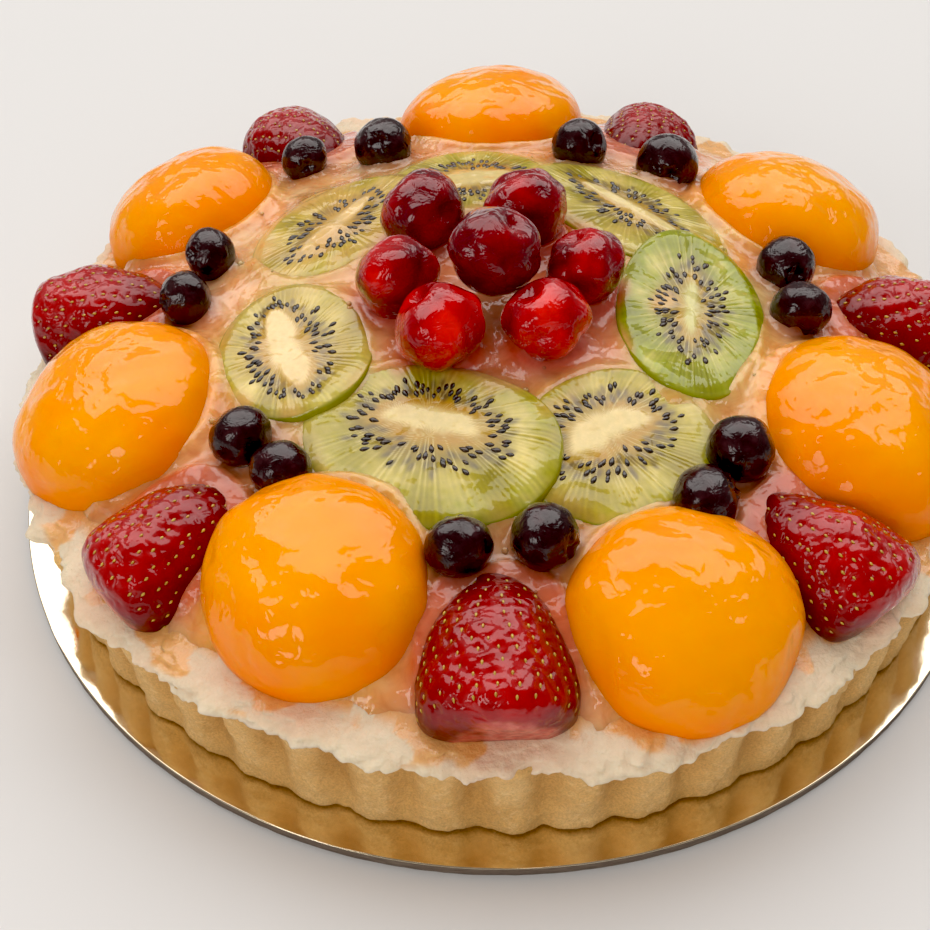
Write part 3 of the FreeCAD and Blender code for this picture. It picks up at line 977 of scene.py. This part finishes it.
def make_kiwis(ground):
    flesh = kiwi_material()
    seeds = seed_material("kiwi_seed", (0.050, 0.024, 0.014), (0.008, 0.005, 0.004), 0.3)
    seed = teardrop(2.7, 1.3, 0.9)
    cols = 400
    turn = np.linspace(0.0, 2.0 * math.pi, cols, endpoint=False)
    circle = np.stack([np.cos(turn), np.sin(turn), 0.0 * turn], axis=-1)
    film = Ripple(540, 14.0)
    for number, (kiwi, cut) in enumerate(zip(KIWIS, KIWI_CUTS), start=1):
        rng = np.random.default_rng(500 + number)
        bed = ground.soft(15.0)
        edge = 1.0 + 0.012 * Ripple(510 + number, 1.8)(circle)

        def spot(x, y):
            sideways = x[..., None] * kiwi.half_along * kiwi.along
            return kiwi.middle + sideways + y[..., None] * kiwi.half_out * kiwi.out

        def face_point(x, y):
            """Point on the cut face: a proud core, faint radial ribs, a rounded rim."""
            xy = spot(x, y)
            t, a = cut.from_core(x, y)
            lift = 0.30 * (1.0 - smooth_step(t, -0.2, 0.1)) - 0.22 * np.exp(-((t - 0.35) / 0.2) ** 2)
            lift = lift + 0.03 * cut.rays(a) * smooth_step(t, 0.15, 0.5) * (1.0 - smooth_step(t, 0.8, 1.0))
            lift = lift - 0.9 * smooth_step(np.hypot(x, y), 0.84, 1.0) ** 2
            return np.concatenate([xy, (ground.read(bed, xy) + KIWI_THICKNESS + lift)[..., None]], axis=-1)

        ghosts, proud = [], []
        for lane, count in ((0.15, 30), (0.25, 40), (0.36, 40), (0.46, 14)):
            for i in range(count):
                a = 2.0 * math.pi * (i + rng.uniform(-0.4, 0.4)) / count
                t = lane + rng.normal(0.0, 0.035)
                core = 1.0 / math.hypot(math.cos(a) / cut.core[0], math.sin(a) / cut.core[1])
                share = core + t * (1.0 - core)
                x, y = share * math.cos(a), share * math.sin(a)
                x, y = x + cut.shift[0] * (1.0 - share), y + cut.shift[1] * (1.0 - share)
                way = math.atan2(y * FACE_SPAN[1], x * FACE_SPAN[0])
                (proud if rng.uniform() < 0.62 else ghosts).append((x, y, way))

        rings, colours = [], []
        for share in np.r_[np.linspace(0.03, 0.9, 44), np.linspace(0.92, 0.99, 5)]:
            x, y = share * edge * np.cos(turn), share * edge * np.sin(turn)
            points = face_point(x, y)
            rings.append(points)
            glazed, reach = ground_colours(points)
            drift = film(points)
            under = 0.85 * (1.0 - smooth_step(reach + 5.0 * drift, 23.0, 37.0))
            under = under + cut.sunk * (0.8 + 0.4 * drift)
            patchy = np.clip(0.35 + 0.6 * drift, 0.0, 1.0)
            under += 0.65 * (1.0 - cut.green) * smooth_step(share, 0.72, 1.0) * patchy
            face = cut.colours(x / edge, y / edge, ghosts)
            colours.append(stain(face, glazed, np.clip(under, 0.0, 0.92)))
        rim = rings[-1]
        out = rim[:, :2] - kiwi.middle
        out = out / np.linalg.norm(out, axis=1)[:, None]
        foot = ground.read(bed, rim[:, :2]) + 0.05
        wall_colour = np.array([0.33, 0.35, 0.012]) * (1.0 - cut.pale)
        wall_colour = wall_colour + np.array([0.50, 0.35, 0.045]) * cut.pale
        for share in np.linspace(0.1, 1.0, 9):
            bulge = 0.15 + 0.55 * math.sin(math.pi * min(share * 1.05, 1.0)) ** 0.7
            z = rim[:, 2] + (foot - rim[:, 2]) * share
            rings.append(np.c_[rim[:, :2] + out * bulge, z])
            # Painted shade: the side of the slice darkens towards its foot.
            painted_wall_shade = 1.0 - 0.25 * share
            colours.append(np.broadcast_to(wall_colour * painted_wall_shade, (cols, 3)))
        for share in (0.9, 0.5, 0.05):
            xy = spot(share * edge * np.cos(turn), share * edge * np.sin(turn))
            rings.append(np.c_[xy, ground.read(bed, xy)])
            colours.append(np.broadcast_to(wall_colour, (cols, 3)))
        rings = np.array(rings)
        form = closed_grid(rings)

        places = []
        for x, y, _ in proud:
            here = face_point(np.array([x]), np.array([y]))[0]
            reach = math.hypot(x, y)
            step = 1.0 + 0.04 / reach
            ahead = face_point(np.array([x * step]), np.array([y * step]))[0]
            way = (ahead - here) / np.linalg.norm(ahead - here)
            side = np.cross([0.0, 0.0, 1.0], way)
            side /= np.linalg.norm(side)
            axes = np.array([way, side, np.cross(way, side)]) * rng.uniform(0.75, 1.1)
            places.append((here - np.array([0.0, 0.0, 0.08]), axes))
        form, slots = with_seeds(form, seed, places)
        piece = mesh_object(f"kiwi_{number}", form, [flesh, seeds], "tart", [kiwi.node], slots)
        tint = np.zeros((len(form.points), 3))
        tint[: rings.shape[0] * cols] = np.array(colours).reshape(-1, 3)
        tint[rings.shape[0] * cols] = tint[0]
        point_colours(piece, "flesh", np.clip(tint, 0.0, 1.0))

        laid = kiwi.inside(ground.xy)
        top = bed + KIWI_THICKNESS - 0.5 * smooth_step(laid, 0.86, 0.99) ** 2
        ground.z = np.where(laid < 1.0, np.maximum(ground.z, top), ground.z)


# ---- the glaze -------------------------------
def make_glaze():
    """A wavy pool of jelly that climbs a little way up each fruit. Its buried underside is coarse."""
    cols = 600
    radii = np.r_[np.linspace(2.0, 100.0, 110), np.linspace(100.8, GLAZE_REACH, 10)]
    turn = np.linspace(0.0, 2.0 * math.pi, cols, endpoint=False)
    circle = np.stack([np.cos(turn), np.sin(turn), np.zeros(cols)], axis=1)
    shore = 1.0 + 0.018 * Ripple(61, 26.0)(circle * 100.0) + 0.010 * Ripple(62, 8.0)(circle * 100.0)
    top, low = [], []
    for radius in radii:
        ring = circle * (radius * (1.0 + (shore - 1.0) * (radius / GLAZE_REACH) ** 6))[:, None]
        ring[:, 2] = dome_height(ring[:, :2])
        top.append(ring)
    top = np.array(top)
    share = radii / GLAZE_REACH
    depth = GLAZE_DEPTH * (1.0 - smooth_step(share, 0.93, 1.0))[:, None]
    reach = np.hypot(top[..., 0], top[..., 1])
    swell = np.clip(0.6 + 0.8 * Ripple(65, 40.0)(top), 0.0, 1.6)
    depth = depth + 0.9 * smooth_step(reach, 78.0, 60.0) * swell
    depth = depth + 0.22 * Ripple(63, 22.0)(top) + 0.05 * Ripple(64, 9.0)(top)
    climb = np.zeros(top.shape[:2])
    for fruits, gap_to, inset, height, fade in (
        (APRICOTS, foot_gap, 0.0, 2.6, 1.7),
        (STRAWBERRIES, berry_gap, 0.0, 2.4, 1.6),
        (BLUEBERRIES, foot_gap, 1.0, 2.6, 1.6),
        (RING_CHERRIES, foot_gap, 7.0, 2.8, 2.2),
    ):
        for fruit in fruits:
            climb = np.maximum(climb, height * beside(gap_to(fruit, top) - inset, fade))
    bank = 1.15 + 0.45 * Ripple(66, 50.0)(top)
    for fruit in KIWIS:
        gap = kiwi_gap(fruit, top)
        climb = np.maximum(climb, bank * beside(gap, 3.2) * smooth_step(gap, -6.0, -0.5))
    fade = (1.0 - smooth_step(share, 0.96, 1.0))[:, None]
    top[..., 2] += np.maximum(depth, 0.25) * fade + climb * fade - 0.3 * (1.0 - fade)
    under = top[::-UNDERSIDE_STEP].copy()
    under[..., 2] = dome_height(under[..., :2]) - 1.5
    rings = np.concatenate([top, under])
    form = closed_grid(rings)
    rng = np.random.default_rng(67)
    bubble = closed_grid(round_rings(8, 12) * np.array([1.0, 1.0, 0.8]))
    places = []
    for _ in range(BUBBLE_COUNT):
        row, col = rng.integers(20, len(top) - 14), rng.integers(0, cols)
        places.append((top[row, col], np.eye(3) * rng.uniform(0.35, 0.95)))
    form, _ = with_seeds(form, bubble, places)
    colour, _ = ground_colours(form.points)
    piece = mesh_object("glaze_pool", form, [glaze_material()], "tart", ["glaze"])
    point_colours(piece, "tint", colour)


# ---- fruit -----------------------------------
def make_apricots():
    flesh = apricot_material()
    rows, cols = 54, 160
    turn = np.linspace(0.0, 2.0 * math.pi, cols, endpoint=False)
    for number, apricot in enumerate(APRICOTS, start=1):
        rng = np.random.default_rng(700 + number)
        half = apricot.foot
        height = apricot.size + apricot.lift
        rings = []
        for share in np.linspace(0.02, 0.97, rows):
            bend = share * math.pi / 2.0
            reach = half * 1.01 * math.sin(bend) ** 0.96
            z = height * math.cos(bend) ** 0.86
            rings.append(np.c_[reach * np.cos(turn), reach * np.sin(turn), np.full(cols, z)])
        for reach, z in ((half * 1.015, -0.6), (half * 1.0, -2.0), (half * 0.92, -2.8), (half * 0.5, -2.8)):
            rings.append(np.c_[reach * np.cos(turn), reach * np.sin(turn), np.full(cols, z)])
        rings = np.array(rings)
        shape = Ripple(710 + number, 46.0)(rings) * 0.55 + Ripple(720 + number, 17.0)(rings) * 0.18
        shape += Ripple(730 + number, 7.0)(rings) * 0.05
        way = rings / np.maximum(np.linalg.norm(rings, axis=-1), 1.0)[..., None]
        rings = rings + way * shape[..., None]
        form = closed_grid(rings)
        points = form.points
        form.points = apricot.seat.world(points)
        piece = mesh_object(f"apricot_{number}", form, [flesh], "tart", [apricot.node])
        # Painted shade: the flesh gets darker and redder towards the foot of the dome; patch is random
        # ripeness.
        low = 1.0 - smooth_step(points[:, 2], 0.0, height * 0.95)
        patch = 0.5 + 0.5 * np.clip(Ripple(740 + number, 30.0)(points), -1.0, 1.0)
        ripe_and_low_shade = np.clip(0.55 * low + 0.35 * patch + rng.uniform(-0.06, 0.06), 0.0, 1.0)
        wet = 0.06 + 0.90 * smooth_step(points[:, 2], 0.10 * height, 0.66 * height)
        point_colours(piece, "ripe_and_low_shade", np.stack([ripe_and_low_shade, wet, wet], axis=1))


def berry_girth(share):
    """Half width of a strawberry, as a share of its largest, from the tip (0) to the cap (1)."""
    nose = np.sqrt(np.clip(1.0 - (1.0 - np.clip(share / 0.80, 0.0, 1.0)) ** 1.9, 0.0, 1.0)) ** 1.25
    past = np.clip((share - 0.78) / 0.245, 0.0, 1.0)
    return nose * (1.0 - past ** 3.0) ** 0.42


def make_strawberries():
    flesh = strawberry_material()
    seeds = seed_material("strawberry_seed", (0.62, 0.42, 0.06), (0.36, 0.17, 0.015), 0.4)
    seed = teardrop(1.2, 0.62, 0.42)
    rows, cols = 110, 200
    turn = np.linspace(0.0, 2.0 * math.pi, cols, endpoint=False)
    for number, berry in enumerate(STRAWBERRIES, start=1):
        rng = np.random.default_rng(800 + number)
        half, length = berry.half, berry.length
        axis_lift = berry.height - half

        def skin(share, a):
            """Local point of the skin: the tip points at -Y, the flat cap at +Y."""
            girth = half * berry_girth(share)
            y = -0.5 * length + length * share
            x = girth * np.cos(a)
            z = girth * np.sin(a) + axis_lift
            return np.stack([x, y, z], axis=-1)

        seed_spots = []
        lanes = 12
        for lane in range(lanes):
            share = 0.06 + 0.84 * (lane + 0.5) / lanes
            girth = half * float(berry_girth(np.array(share)))
            count = max(int(2.0 * math.pi * girth / 4.3), 4)
            for i in range(count):
                a = 2.0 * math.pi * (i + 0.5 * (lane % 2) + rng.uniform(-0.14, 0.14)) / count
                if -0.35 * math.pi < (a % (2.0 * math.pi)) - 1.5 * math.pi < 0.35 * math.pi:
                    continue
                seed_spots.append((share + rng.uniform(-0.010, 0.010), a))
        shares = np.r_[np.linspace(0.0, 0.9, rows - 24) ** 1.15, np.linspace(0.9, 1.0, 12)]
        rings = np.array([skin(np.full(cols, s), turn) for s in shares])
        centres = np.array([skin(np.array(s), np.array(a)) for s, a in seed_spots])
        pits = np.zeros(rings.shape[:2])
        for centre in centres:
            apart = ((rings - centre) ** 2).sum(axis=-1)
            pits = np.maximum(pits, np.exp(-apart / 1.1))
        hub = np.array([0.0, 0.0, axis_lift])
        way = rings - hub
        way[..., 1] *= 0.25
        way /= np.maximum(np.linalg.norm(way, axis=-1), 1e-6)[..., None]
        lump = Ripple(810 + number, 22.0)(rings) * 0.45 + Ripple(820 + number, 7.0)(rings) * 0.10
        rings = rings + way * (lump - 0.42 * pits)[..., None]
        cap = []
        for share in (0.94, 0.8, 0.6, 0.4, 0.2, 0.05):
            ring = rings[-1].copy()
            middle = ring.mean(axis=0)
            ring = middle + (ring - middle) * share
            ring[:, 1] += 0.12 * (1.0 - share) * Ripple(830 + number, 6.0)(ring)
            cap.append(ring)
        rings = np.concatenate([rings, np.array(cap)])
        form = closed_grid(rings)
        places = []
        for (share, a), centre in zip(seed_spots, centres):
            ahead = skin(np.array(share + 0.02), np.array(a))
            way_along = ahead - centre
            way_along /= np.linalg.norm(way_along)
            up = np.array([math.cos(a), 0.0, math.sin(a)])
            up -= way_along * (up @ way_along)
            up /= np.linalg.norm(up)
            lump_here = Ripple(810 + number, 22.0)(centre[None])[0] * 0.45
            lump_here += Ripple(820 + number, 7.0)(centre[None])[0] * 0.10
            axes = np.array([-way_along, np.cross(up, -way_along), up]) * rng.uniform(0.85, 1.1)
            places.append((centre + up * (lump_here - 0.30), axes))
        form, slots = with_seeds(form, seed, places)
        points = form.points
        form.points = berry.seat.world(points)
        piece = mesh_object(
            f"strawberry_{number}", form, [flesh, seeds], "tart", [berry.node], slots
        )
        cut_shade_and_wet = np.zeros((len(points), 3))
        along = (points[:, 1] + 0.5 * length) / length
        cut_shade_and_wet[:, 0] = smooth_step(along - 0.006 * Ripple(840 + number, 6.0)(points), 0.975, 1.0) * 0.85
        # Green channel: painted shade, darker towards the bottom of each half.
        cut_shade_and_wet[:, 1] = 1.0 - smooth_step(points[:, 2], 0.0, half)
        cut_shade_and_wet[:, 2] = 0.4 + 0.6 * smooth_step(points[:, 2], 0.1 * half, 0.8 * half)
        point_colours(piece, "berry", cut_shade_and_wet)


def round_rings(rows, cols):
    """Unit sphere as rings from the top down."""
    tilt = np.linspace(0.03, math.pi - 0.03, rows)[:, None]
    turn = np.linspace(0.0, 2.0 * math.pi, cols, endpoint=False)[None, :]
    return np.stack(
        [np.sin(tilt) * np.cos(turn), np.sin(tilt) * np.sin(turn), np.cos(tilt) + 0.0 * turn], axis=-1
    )


def turned(rings, rng, lean):
    """The rings, leant over by up to lean radians in a random direction."""
    about = rng.uniform(0.0, 2.0 * math.pi)
    spin = Matrix.Rotation(lean, 3, Vector((math.cos(about), math.sin(about), 0.0)))
    return rings @ np.array(spin).T


def make_blueberries():
    skin = blueberry_material()
    for number, berry in enumerate(BLUEBERRIES, start=1):
        rng = np.random.default_rng(900 + number)
        rings = round_rings(44, 64)
        turn = np.arctan2(rings[..., 1], rings[..., 0])
        tilt = np.arccos(np.clip(rings[..., 2], -1.0, 1.0))
        crown = 0.09 * np.exp(-((tilt - 0.34) / 0.10) ** 2) * (0.55 + 0.45 * np.cos(5.0 * turn))
        pit = -0.20 * np.exp(-(tilt / 0.26) ** 2)
        lumps = 0.028 * Ripple(910 + number, 2.2)(rings) + 0.011 * Ripple(930 + number, 0.8)(rings)
        swell = 1.0 + crown + pit + lumps
        rings = rings * swell[..., None] * np.array([1.03, 1.0, 0.93])
        rings = turned(rings, rng, rng.uniform(0.7, 1.9)) * berry.size
        form = closed_grid(rings)
        form.points = berry.centre + form.points @ berry.seat.axes
        mesh_object(f"blueberry_fruit_{number}", form, [skin], "tart", [berry.node])


def make_cherries():
    flesh = cherry_material()
    darkness = (0.80, 0.60, 0.30, 0.38, 0.68, 0.68, 0.95)
    for number, cherry in enumerate(CHERRIES, start=1):
        rng = np.random.default_rng(1000 + number)
        rings = round_rings(70, 96)
        turn = np.arctan2(rings[..., 1], rings[..., 0])
        tilt = np.arccos(np.clip(rings[..., 2], -1.0, 1.0))
        hole = -0.26 * np.exp(-(tilt / 0.30) ** 2)
        cleft = -0.07 * np.exp(-(np.abs(np.sin(turn / 2.0)) / 0.22) ** 2) * np.sin(tilt)
        lumps = 0.07 * np.abs(Ripple(1010 + number, 2.6)(rings)) - 0.05
        lumps = lumps + 0.018 * Ripple(1020 + number, 0.9)(rings)
        swell = 1.0 + hole + cleft + lumps
        rings = rings * swell[..., None] * np.array([1.06, 1.0, 0.93])
        rings = turned(rings, rng, rng.uniform(0.5, 1.6)) * cherry.size
        form = closed_grid(rings)
        points = form.points
        form.points = cherry.centre + points @ cherry.seat.axes
        piece = mesh_object(f"cherry_fruit_{number}", form, [flesh], "tart", [cherry.node])
        patch = 0.2 * Ripple(1030 + number, 12.0)(points)
        # Painted shade: darker towards each cherry's underside; darkness and patch are its own tone.
        low = 0.25 * (1.0 - smooth_step(points[:, 2], -cherry.size, cherry.size))
        dark = np.clip(darkness[number - 1] + patch + low, 0.0, 1.0)
        point_colours(piece, "ripe_and_low_shade", np.repeat(dark[:, None], 3, axis=1))


# ---- studio and camera -----------------------
def make_stage():
    size = 6.0
    mesh = bpy.data.meshes.new("studio_floor")
    corners = [(-size, -size, 0.0), (size, -size, 0.0), (size, size, 0.0), (-size, size, 0.0)]
    mesh.from_pydata([(x, y, z - FLOOR_DROP) for x, y, z in corners], [], [(0, 1, 2, 3)])
    paper = Shader("studio_paper", Roughness=0.9)
    paper.set("Base Color", (0.715, 0.70, 0.69, 1.0))
    mesh.materials.append(paper.material)
    floor = bpy.data.objects.new("studio_floor", mesh)
    bpy.context.scene.collection.objects.link(floor)


def area_light(name, azimuth, elevation, distance, width, height, power, colour=(1.0, 1.0, 1.0)):
    """A soft box that faces the tart. Azimuth 0 is the camera's side, and 90 its right."""
    light = bpy.data.lights.new(name, "AREA")
    light.shape = "RECTANGLE"
    light.size = width
    light.size_y = height
    light.energy = power
    light.color = colour
    lamp = bpy.data.objects.new(name, light)
    a, e = math.radians(azimuth), math.radians(elevation)
    spot = Vector((math.sin(a) * math.cos(e), -math.cos(a) * math.cos(e), math.sin(e))) * distance
    lamp.location = spot + Vector((0.0, 0.0, 0.04))
    lamp.rotation_euler = (-spot).to_track_quat("-Z", "Y").to_euler()
    bpy.context.scene.collection.objects.link(lamp)
    return lamp


def make_lights():
    area_light("soft_box", 180.0, 57.0, 2.4, 4.3, 2.4, 76.0, (1.0, 0.985, 0.96))
    area_light("key_front_left", -40.0, 30.0, 1.5, 0.5, 0.5, 2.6, (1.0, 0.975, 0.93))
    fill = area_light("front_fill", -8.0, 40.0, 2.2, 2.6, 2.0, 21.0, (1.0, 0.97, 0.94))
    fill.visible_glossy = False
    world = bpy.data.worlds.new("studio")
    world.use_nodes = True
    sky = world.node_tree.nodes["Background"]
    sky.inputs["Color"].default_value = (1.0, 0.975, 0.95, 1.0)
    sky.inputs["Strength"].default_value = 0.22
    bpy.context.scene.world = world


def make_camera():
    camera = bpy.data.cameras.new("camera")
    camera.sensor_width = 36.0
    camera.lens = VIEW_LENS
    camera.clip_start = 0.01
    eye = bpy.data.objects.new("camera", camera)
    e, roll = math.radians(VIEW_ELEVATION), math.radians(VIEW_ROLL)
    forward = Vector((0.0, math.cos(e), -math.sin(e)))
    right = Vector((1.0, 0.0, 0.0))
    up = right.cross(forward)
    right, up = math.cos(roll) * right + math.sin(roll) * up, -math.sin(roll) * right + math.cos(roll) * up
    place = Vector((VIEW_AIM[0], VIEW_AIM[1], BOARD_TOP)) * MM - forward * VIEW_DISTANCE * MM
    basis = Matrix((right, up, -forward)).transposed().to_4x4()
    eye.matrix_world = Matrix.Translation(place) @ basis
    bpy.context.scene.collection.objects.link(eye)
    bpy.context.scene.camera = eye


make_camera()
make_stage()
make_lights()
make_board()
make_shell()
make_cream()
make_glaze()
make_kiwis(Ground())
make_apricots()
make_strawberries()
make_blueberries()
make_cherries()

view = bpy.context.scene.view_settings
view.view_transform = "Standard"
view.use_curve_mapping = True
view.curve_mapping.black_level = (0.015, 0.015, 0.015)
view.curve_mapping.update()
